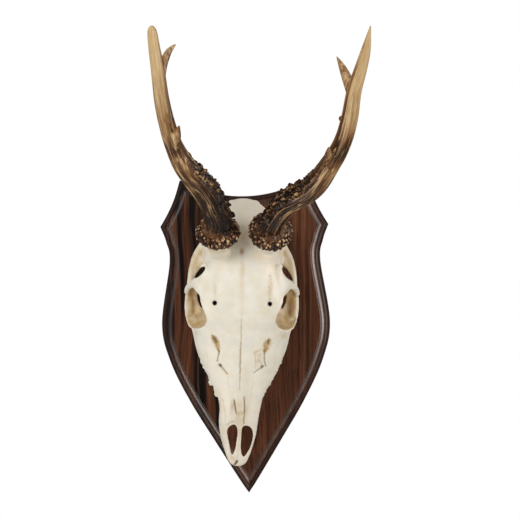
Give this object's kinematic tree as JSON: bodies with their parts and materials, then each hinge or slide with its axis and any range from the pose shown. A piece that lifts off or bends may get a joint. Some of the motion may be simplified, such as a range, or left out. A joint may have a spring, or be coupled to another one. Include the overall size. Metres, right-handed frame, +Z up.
{
  "type": "antler mounting plaque",
  "caption": "Bleached roe deer skull with rough dark antlers on a moulded, pointed dark wood shield that hangs on a wall by a keyhole slot in its back.",
  "frame": {"origin": "middle of the shield's flat back face, half way between its top corners and its lower point", "axes": "+Z up along the shield, +Y out of the back into the wall, +X to the right of someone who looks at the skull"},
  "size_m": [0.1542, 0.2278, 0.3393],
  "materials": {
    "dark_wood": "dark stained open-grained hardwood, upright grain, semi-gloss varnish",
    "bleached_bone": "bleached bone, cream, matt with a faint sheen, yellower in the hollows",
    "antler": "natural antler, dark brown and pearled at the base, tan to cream towards the polished tips"
  },
  "bodies": {
    "root": {"shield_plaque": "dark_wood", "skull": "bleached_bone", "antler_left": "antler", "antler_right": "antler"}
  },
  "joints": []
}
